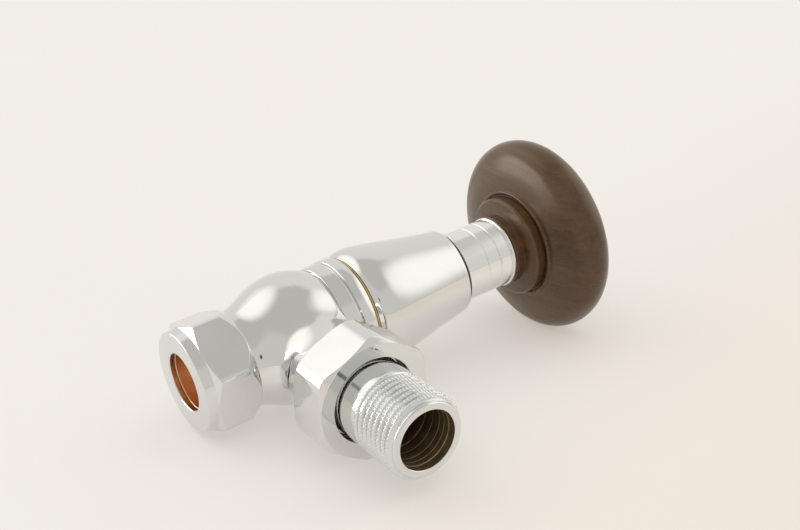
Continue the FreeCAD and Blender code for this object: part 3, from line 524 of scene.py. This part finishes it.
def hexnut(name, axis, t_f, t_b, face_r, k_f, af, corner_r, phase, back_r, k_b, inner_pts, collar=None, m=720, edge=0.35, fr=0.22, **kw):
    """inner_pts: fixed (t, r, fillet) from the back edge of the bore round to the front edge of the hole."""
    sg = 1.0 if t_b > t_f else -1.0
    ph = np.linspace(0, 2 * np.pi, m, endpoint=False)
    d = np.degrees(ph) - phase
    base = np.floor(d / 60.0) * 60.0 + 30.0
    cand = []
    for k in (-1, 0, 1):
        dd = np.radians(d - (base + 60.0 * k))
        cand.append(np.where(np.cos(dd) > 0.2, af / 2 / np.maximum(np.cos(dd), 0.2), 1e3))
    r = smin(smin(cand[0], cand[1], edge), cand[2], edge)
    r = smin(r, np.full(m, corner_r), edge)
    cols = []
    for q in range(m):
        ro = float(r[q])
        cl, cr = collar if collar else (0.0, face_r)
        tc = t_f + sg * (cl + max(ro - cr, 0.04) * k_f)
        db = max(ro - back_r, 0.06)
        td = t_b - sg * db * k_b
        pts = [(t_f, face_r, fr)] + ([(t_f + sg * cl, cr, fr)] if collar else [])
        pts += [(tc, ro, fr * 1.3), (td, ro, fr * 0.8), (t_b, ro - db, fr * 0.8)] + list(inner_pts)
        cols.append([(a, b) for a, b, _ in rounded(pts, k=4)])
    A = np.array(cols)
    T, R = A[:, :, 0].T, A[:, :, 1].T
    c, s = np.cos(ph), np.sin(ph)
    if axis == "Z":
        return grid_object(name, R * c, R * s, T, kw.pop("mats"), kw.pop("tags", None), **kw)
    return grid_object(name, T, R * c, R * s, kw.pop("mats"), kw.pop("tags", None), **kw)


hexnut("compression_nut_hex", "Z", -30.63, -16.2, 13.1, 0.62, 27.4, 15.5, -20.0, 13.6, 1.6,
       [(-16.2, 10.75, 0.15), (-26.9, 10.75, 0.0), (-26.9, 9.3, 0.0), (-29.2, 8.55, 0.0), (-29.2, 7.6, 0.1), (-30.63, 7.6, 0.4)],
       collar=(2.65, 13.5), mats=[M_CHROME_NUT], body="inlet_nut", slot="chrome_plate", replaces=("compression_nut",))
hexnut("union_nut_hex", "X", 39.0, 26.8, 14.7, 0.6, 29.6, 16.3, -7.0, 15.0, 0.62,
       [(26.8, 13.25, 0.15), (35.9, 13.25, 0.0), (35.9, 11.0, 0.0), (39.0, 11.0, 0.3)],
       edge=0.6, mats=[M_CHROME_NUT], body="union", slot="chrome_plate", replaces=("union_nut",))

# ------------------------------------------------------------------ olive
ol = rounded([(-29.0, 7.6, 0.25), (-29.0, 8.35, 0.3), (-27.0, 9.0, 0.6), (-25.9, 9.0, 0.6), (-23.2, 7.85, 0.15), (-23.2, 7.6, 0.1),
              (-24.4, 7.63, 0.0), (-25.6, 7.6, 0.0), (-26.8, 7.63, 0.0), (-28.0, 7.6, 0.0)])
lathe("olive_ring", ol, "Z", 128, [M_COPPER], body="pipe_ring", slot="copper", replaces=("olive",))

# ------------------------------------------------------------------ tail piece with its helical thread
m = 640
ph = np.linspace(0, 2 * np.pi, m, endpoint=False)
pitch = 1.814
x_start, x_end = 45.9, 59.2
rng = np.random.default_rng(7)
pre = rounded([(29.3, 7.49), (29.3, 9.2, 0.1), (29.7, 9.6, 0.1), (30.15, 9.6, 0.0), (30.15, 8.3, 0.0), (31.65, 8.3, 0.0), (31.65, 9.6, 0.0),
               (32.15, 9.6, 0.0), (32.15, 12.3, 0.1), (32.45, 12.6, 0.1), (35.75, 12.6, 0.2), (35.75, 10.3, 0.15), (40.6, 10.3, 0.0), (45.2, 10.3, 0.0)], closed=False)
xs = np.arange(45.35, 59.62, 0.075)
rows_t = [np.full(m, p[0]) for p in pre]
rows_r = [np.full(m, p[1]) for p in pre]
tags = [1] * 8 + [0] * (len(pre) - 8)
crest, rootr = 10.4775, 9.36
blk = rng.random((40, 97))
for x in xs:
    u = ((x - 46.55 - pitch * (ph - 3.6) / (2 * np.pi)) / pitch)
    turn = np.floor(u)
    w = u - turn
    # rounded whitworth-like flank
    tri = 1 - np.abs(2 * w - 1)
    prof = np.clip((tri - 0.12) / 0.70, 0, 1)
    prof = prof * prof * (3 - 2 * prof) * 0.3 + prof * 0.7
    h = rootr + (crest - rootr) * prof
    # notched crests: slanted nicks that the tool leaves for the sealing tape to bite on
    along = ph * 10.4 + 0.9 * (x - x_start)
    cell = along / 0.95
    ci = np.floor(cell)
    f = cell - ci
    amp = blk[(turn.astype(int) + 5) % 40, ci.astype(int) % 97]
    nick = np.clip(1 - np.abs(2 * f - 1) * 1.8, 0, 1) * (0.25 + 0.75 * amp) * (amp > 0.12)
    h = h - 0.42 * nick * np.clip((prof - 0.55) / 0.45, 0, 1)
    run_in = np.clip((x - 45.6) / 0.9, 0, 1)
    run_out = np.clip((59.55 - x) / 0.8, 0, 1)
    base_in = 10.3
    r = h * run_in + base_in * (1 - run_in)
    r = r * run_out + 9.34 * (1 - run_out)
    rows_t.append(np.full(m, x))
    rows_r.append(r)
    tags.append(0)
post = rounded([(59.66, 9.33), (59.9, 9.33, 0.0), (60.15, 9.08, 0.12), (60.15, 7.62, 0.1), (60.0, 7.49, 0.05), (58.1, 7.49, 0.0), (57.9, 7.53, 0), (57.6, 7.49, 0),
                (56.2, 7.49, 0), (56.05, 7.52, 0), (55.9, 7.49, 0), (54.3, 7.49, 0), (54.1, 7.54, 0), (53.8, 7.49, 0), (51.9, 7.49, 0), (51.75, 7.52, 0), (51.6, 7.49, 0),
                (49.4, 7.49, 0), (49.2, 7.53, 0), (49.0, 7.49, 0), (45.1, 7.49, 0), (44.95, 7.52, 0), (44.8, 7.49, 0), (40.4, 7.49, 0), (40.2, 7.53, 0), (40.0, 7.49, 0), (34.0, 7.49, 0)], closed=False)
for k, p in enumerate(post):
    rows_t.append(np.full(m, p[0]))
    rows_r.append(np.full(m, p[1]))
    tags.append(0 if p[1] > 7.7 or p[0] > 60.05 else 2)
tags[0] = 2
T, R = np.array(rows_t), np.array(rows_r)
grid_object("tail_thread", T, R * np.cos(ph), R * np.sin(ph), [M_CHROME_THREAD, M_BRASS, M_BORE], tags,
            body="tail", slot="chrome_plate", replaces=("tail_piece",))

# ------------------------------------------------------------------ headwork ring seen between collar and shroud
hw = rounded([(17.95, 12.2, 0, 1), (17.95, 14.95, 0.05, 1), (18.06, 15.12, 0.05, 0), (18.44, 15.12, 0.05, 1), (18.55, 14.95, 0.05, 1), (18.57, 13.6, 0.05), (24.0, 13.6, 0.1), (24.5, 13.1, 0.1), (24.5, 10.3, 0.1),
              (29.9, 10.3, 0.1), (30.5, 9.5, 0.1), (30.5, 8.0, 0.1), (40.1, 8.0, 0.1), (40.5, 7.6, 0.1), (40.5, 6.2, 0.0), (30.0, 6.2, 0.0),
              (30.0, 4.1, 0), (22.7, 4.1, 0), (22.7, 5.75, 0), (17.9, 5.75, 0), (17.9, 6.65, 0), (8.0, 6.65, 0), (8.0, 9.5, 0.1), (9.3, 9.5, 0.1), (9.3, 11.45, 0.1),
              (9.8, 11.95, 0.1), (17.95, 11.95, 0)])
# Painted shade: a dark brass colour on the ring's rounded edges and flanks, where shade falls in the gaps against the
# collar and the shroud.
M_RING_GAP_SHADE = metal("brass_ring_painted_gap_shade", (0.16, 0.12, 0.05), (0.26, 0.20, 0.09), (0.35, 0.5), 900.0, turned=2, depth=0.02)
lathe("headwork_insert", hw, "Z", 160, [M_BRASS_RING, M_RING_GAP_SHADE], body="valve", slot="raw_brass", replaces=("headwork",))

# ------------------------------------------------------------------ shroud
sh = [(18.62, 13.85, 0.1), (18.62, 15.05, 0.15), (18.95, 15.3, 0.2)]
sh += [(z, r) for r, z in [(15.72, 19.45), (16.02, 20.1), (16.24, 20.9), (16.36, 21.8), (16.40, 22.7), (16.38, 23.8), (16.28, 25.0), (16.12, 26.3),
                           (15.90, 27.8), (15.60, 29.5), (15.24, 31.4), (14.84, 33.4), (14.42, 35.5), (14.00, 37.6), (13.58, 39.8), (13.18, 42.0),
                           (12.80, 44.2), (12.46, 46.3), (12.16, 48.2), (11.92, 49.6)]]
sh += [(49.95, 11.82, 0.3), (50.55, 11.3, 0.5), (51.1, 10.6, 0.4), (51.55, 9.80, 0.03), (48.5, 9.80, 0.1), (48.0, 10.75, 0.1), (32.0, 13.65, 0.1), (30.0, 13.85, 0.1)]
shp = rounded(sh, k=6)


def densify(P, z0, z1, n):
    """Spline-smooth the outer run between two heights."""
    t = np.array([p[0] for p in P]); r = np.array([p[1] for p in P])
    run = [i for i in range(len(P)) if z0 <= t[i] <= z1 and r[i] > 11.8]
    i0, i1 = run[0], run[-1]
    tt, rr = t[i0:i1 + 1], r[i0:i1 + 1]
    s = np.concatenate([[0], np.cumsum(np.hypot(np.diff(tt), np.diff(rr)))])
    # natural cubic spline through the points
    def spline(x, y, xn):
        k = len(x) - 1
        hh = np.diff(x)
        A = np.zeros((k + 1, k + 1)); b = np.zeros(k + 1)
        A[0, 0] = A[k, k] = 1
        for i in range(1, k):
            A[i, i - 1], A[i, i], A[i, i + 1] = hh[i - 1], 2 * (hh[i - 1] + hh[i]), hh[i]
            b[i] = 6 * ((y[i + 1] - y[i]) / hh[i] - (y[i] - y[i - 1]) / hh[i - 1])
        M = np.linalg.solve(A, b)
        j = np.clip(np.searchsorted(x, xn) - 1, 0, k - 1)
        d0, d1 = x[j + 1] - xn, xn - x[j]
        H = hh[j]
        return M[j] * d0 ** 3 / (6 * H) + M[j + 1] * d1 ** 3 / (6 * H) + (y[j] / H - M[j] * H / 6) * d0 + (y[j + 1] / H - M[j + 1] * H / 6) * d1
    sn = np.linspace(0, s[-1], n)
    T, R = spline(s, tt, sn), spline(s, rr, sn)
    return list(P[:i0]) + [(float(a), float(b), None) for a, b in zip(T, R)] + list(P[i1 + 1:])


shp = densify(shp, 19.3, 49.7, 110)
lathe("shroud_bell", shp, "Z", 256, [M_CHROME], body="valve", slot="chrome_plate", replaces=("shroud",))

# ------------------------------------------------------------------ ferrule
fe = [(47.0, 8.4, 0.1), (47.0, 9.75, 0.15)]
for z in (58.3, 62.4):
    fe += [(z - 0.24, 9.75, 0.06), (z - 0.06, 9.56, 0.03), (z + 0.06, 9.56, 0.03), (z + 0.24, 9.75, 0.06)]
fe += [(65.8, 9.75, 0.08), (66.02, 9.5, 0.05), (66.2, 9.5, 0.05), (66.42, 10.05, 0.16), (67.1, 10.05, 0.2), (67.3, 9.8, 0.1), (67.3, 5.65, 0.1), (65.5, 5.65, 0.0), (65.5, 8.4, 0.0)]
lathe("ferrule_sleeve", rounded(fe, k=4), "Z", 192, [M_CHROME_SLEEVE], body="wheel", slot="chrome_plate", replaces=("ferrule",))

# ------------------------------------------------------------------ handwheel
RC, ZC, RR = 21.73, 82.23, 6.12
wh = [(67.5, 5.6, 0.1), (67.5, 9.8, 0.3), (67.9, 10.0, 0.15), (69.3, 10.0, 0.2), (70.2, 10.05, 0.12)]
wh += [(70.55, 12.0, 0.0), (70.95, 13.7, 0.3), (71.5, 14.2, 0.35), (73.2, 14.2, 0.0), (74.4, 14.2, 0.06), (74.4, 14.46, 0.06), (74.1, 14.56, 0.08)]
wh += [(z, r) for r, z in [(14.80, 73.98), (15.0, 73.90), (15.2, 73.88), (15.4, 73.95), (15.58, 74.12)]]
wh += [(74.5, 15.72, 0.08), (74.52, 15.95, 0.08)]
near = (ZC - RR * 0.9613, RC + RR * 0.2756)
wh += [(z, r) for z, r in [(74.68, 17.4), (74.95, 19.0), (75.35, 20.6), (75.82, 22.1)]]
a0 = math.atan2(near[1] - RC, near[0] - ZC)
a1 = math.atan2(-0.6, math.sqrt(RR * RR - 0.36))
if a1 > a0:
    a1 -= 2 * math.pi
for i in range(41):
    th = a0 + (math.radians(5.6) - a0) * i / 40.0
    wh.append((ZC + RR * math.cos(th), RC + RR * math.sin(th)))
wh += [(88.60, 20.6), (88.85, 18.5), (89.05, 16.0), (89.2, 13.0), (89.28, 10.6), (89.3, 8.9, 0.0), (89.3, 7.7, 0.4), (84.0, 7.7, 0.1), (84.0, 5.6, 0.1)]
whp = rounded(wh, k=6)
lathe("handwheel_wood", whp, "Z", 288, [M_WOOD], body="wheel", slot="dark_wood", replaces=("handwheel",))

cap = [(85.0, 7.55, 0.15), (89.4, 7.55, 0.35)]
cap += [(z, r) for r, z in [(7.0, 89.78), (6.2, 90.15), (5.2, 90.52), (4.0, 90.85), (2.7, 91.1), (1.3, 91.26)]]
cap += [(91.3, 0.0), (90.3, 0.0), (88.9, 6.6, 0.3), (85.0, 6.6, 0.1)]
P = rounded(cap, k=5)
# an open outline that starts and ends on the axis
k0 = [i for i, p in enumerate(P) if abs(p[1]) < 1e-9]
order = P[k0[1]:] + P[:k0[0] + 1]
lathe("screw_cap_dome", order, "Z", 128, [M_CHROME], closed=False, body="wheel", slot="chrome_plate", replaces=("screw_cap",))

# ------------------------------------------------------------------ pieces carried over from the CAD
slot_mat = {"raw_brass": M_BRASS, "seal_rubber": M_RUBBER, "white_polymer": M_POLY, "steel": M_STEEL, "copper": M_COPPER,
            "chrome_plate": M_CHROME, "dark_wood": M_WOOD}
node_slot = {s["node"]: s["material_slot"] for s in frame["record"]["subparts"]}
for name, o in nodes.items():
    if not o.material_slots:
        o.data.materials.append(None)
    for s in o.material_slots:
        s.link = "OBJECT"
        s.material = slot_mat[node_slot[name]]

# ------------------------------------------------------------------ floor, backdrop, light, camera
def paper(name):
    """White floor with painted light: it glows by its own emission, which lifts the shadows cast on it; painted shade
    makes it darker and warmer towards one side.
    """
    q = Net(name)
    nz = q.noise(q.co, 3.0, 3.0)
    sep = q.n("ShaderNodeSeparateXYZ")
    q.link(q.co, sep.inputs[0])
    # Painted shade: colour and glow grow darker and warmer towards one side of the floor.
    side = q.math("ADD", q.math("MULTIPLY", sep.outputs[0], 0.33), q.math("MULTIPLY", sep.outputs[1], -0.94))
    painted_shade_side = q.remap(side, 0.0, 1.0, -0.04, 0.16)
    q.link(q.mix(painted_shade_side, q.ramp(nz, [(0.3, (0.41, 0.41, 0.405)), (0.7, (0.43, 0.43, 0.425))]), (0.42, 0.405, 0.38)), q.b.inputs["Base Color"])
    # Painted light: the emission makes the floor glow, so that the shadows cast on it stay pale.
    q.set(Roughness=0.75, Specular_IOR_Level=0.0, Emission_Strength=1.0)
    q.link(q.mix(painted_shade_side, (0.435, 0.412, 0.378), (0.385, 0.345, 0.290)), q.b.inputs["Emission Color"])
    fine = q.noise(q.co, 700.0, 2.0)
    q.link(q.bump(fine, 0.02, 0.0002), q.b.inputs["Normal"])
    return q.m


CS, CO, CP = np.array([0.8143, -0.3351, 0.4740]), np.array([0.5733, 0.3364, -0.7471]), np.array([-28.22, 18.65, 325.06])
CS = CS / np.linalg.norm(CS)
CO = CO - CS * (CS @ CO)
CO = CO / np.linalg.norm(CO)
CY = np.cross(CS, CO)
C = np.stack([CO, CY, CS], 1)
Vr = np.array([[VM[i][j] for j in range(3)] for i in range(3)])
ax = Vr @ C.T            # columns: the camera's right, down and forward in the row frame
right, down, fwd = ax[:, 0], ax[:, 1], ax[:, 2]
eye = np.array(origin) + Vr @ (-C.T @ CP) * 0.001
cam_data = bpy.data.cameras.new("camera")
cam_data.sensor_width = 36.0
cam_data.lens = 36.0 * 1265.34 / 800.0
cam_data.clip_start = 0.01
cam_data.clip_end = 50.0
cam = bpy.data.objects.new("camera", cam_data)
bpy.context.scene.collection.objects.link(cam)
cam.matrix_world = Matrix(((right[0], -down[0], -fwd[0], eye[0]), (right[1], -down[1], -fwd[1], eye[1]), (right[2], -down[2], -fwd[2], eye[2]), (0, 0, 0, 1)))
bpy.context.scene.camera = cam

# a wide flat floor that fades into the light tent round it
verts, faces = [], []
rings = [0.0, 0.15, 0.4, 1.0, 2.5, 6.0, 14.0]
for k, rad in enumerate(rings[1:]):
    for q in range(48):
        th = 2 * math.pi * q / 48
        verts.append((rad * math.cos(th), rad * math.sin(th), 0.0))
verts.append((0.0, 0.0, 0.0))
for q in range(48):
    faces.append((q, (q + 1) % 48, len(verts) - 1))
for k in range(len(rings) - 2):
    for q in range(48):
        faces.append((48 * k + q, 48 * (k + 1) + q, 48 * (k + 1) + (q + 1) % 48, 48 * k + (q + 1) % 48))
me = bpy.data.meshes.new("sweep")
me.from_pydata(verts, [], faces)
me.materials.append(paper("paper_sweep_painted_glow"))
for p in me.polygons:
    p.use_smooth = True
floor = bpy.data.objects.new("sweep", me)
bpy.context.scene.collection.objects.link(floor)

# the light tent: a dome of soft light with two brighter panels and a dimmer roof patch
w = bpy.data.worlds.new("tent")
bpy.context.scene.world = w
w.use_nodes = True
wt = w.node_tree
bg = wt.nodes["Background"]
direction = wt.nodes.new("ShaderNodeTexCoord").outputs["Generated"]


def wnode(kind, **kw):
    node = wt.nodes.new(kind)
    for k, v in kw.items():
        setattr(node, k, v)
    return node


def patch(az, el, outer, inner):
    """1 inside a soft round patch of the dome centred at az, el; 0 outside (degrees)."""
    a, e = math.radians(az), math.radians(el)
    dot = wnode("ShaderNodeVectorMath", operation="DOT_PRODUCT")
    wt.links.new(direction, dot.inputs[0])
    dot.inputs[1].default_value = (math.cos(e) * math.cos(a), math.cos(e) * math.sin(a), math.sin(e))
    mr = wnode("ShaderNodeMapRange", interpolation_type="SMOOTHSTEP")
    mr.inputs["From Min"].default_value = math.cos(math.radians(outer))
    mr.inputs["From Max"].default_value = math.cos(math.radians(inner))
    wt.links.new(dot.outputs["Value"], mr.inputs["Value"])
    return mr.outputs["Result"]


def over(level, value, fac):
    m = wnode("ShaderNodeMix", data_type="FLOAT")
    wt.links.new(fac, m.inputs[0])
    if isinstance(level, float):
        m.inputs[2].default_value = level
    else:
        wt.links.new(level, m.inputs[2])
    m.inputs[3].default_value = value
    return m.outputs[0]


level = over(0.70, 0.83, patch(56.0, 8.0, 75.0, 35.0))
level = over(level, 0.60, patch(-80.0, 81.9, 44.0, 32.0))
level = over(level, 1.27, patch(127.0, 38.0, 37.0, 17.0))
level = over(level, 1.23, patch(-15.0, 28.0, 37.0, 17.0))
level = over(level, 1.15, patch(131.0, 7.0, 22.0, 9.0))
level = over(level, 0.10, patch(241.5, 24.7, 5.6, 3.0))
wt.links.new(level, bg.inputs["Strength"])
bg.inputs["Color"].default_value = (1.0, 0.98, 0.93, 1)

# a large soft lamp overhead that lifts the floor and the wood, and isn't seen in the chrome
L = bpy.data.lights.new("overhead", "SUN")
L.energy = 0.85
L.angle = math.radians(80.0)
L.color = (1.0, 0.985, 0.95)
o = bpy.data.objects.new("overhead", L)
bpy.context.scene.collection.objects.link(o)
o.rotation_euler = (math.radians(8.0), math.radians(-6.0), 0.0)
o.visible_glossy = False
# a low soft panel on the left, near the valve: only its gloss is wanted, as the dome already lights the floor
a, dist = math.radians(135.0), 0.45
panel = bpy.data.lights.new("left_panel", "AREA")
panel.shape = "RECTANGLE"
panel.size, panel.size_y = 0.36, 0.24
panel.energy = math.pi * panel.size * panel.size_y * 2.4
panel.color = (1.0, 0.985, 0.95)
po = bpy.data.objects.new("left_panel", panel)
bpy.context.scene.collection.objects.link(po)
pd = Vector((math.cos(a), math.sin(a), 0.0))
po.matrix_world = Matrix.Translation(Vector((-0.02, -0.01, 0.125)) + pd * dist) @ pd.to_track_quat("Z", "Y").to_matrix().to_4x4()
po.visible_camera = False
po.visible_diffuse = False
bpy.context.scene.view_settings.view_transform = "Standard"
bpy.context.scene.view_settings.look = "None"
bpy.context.scene.view_settings.exposure = 0.0
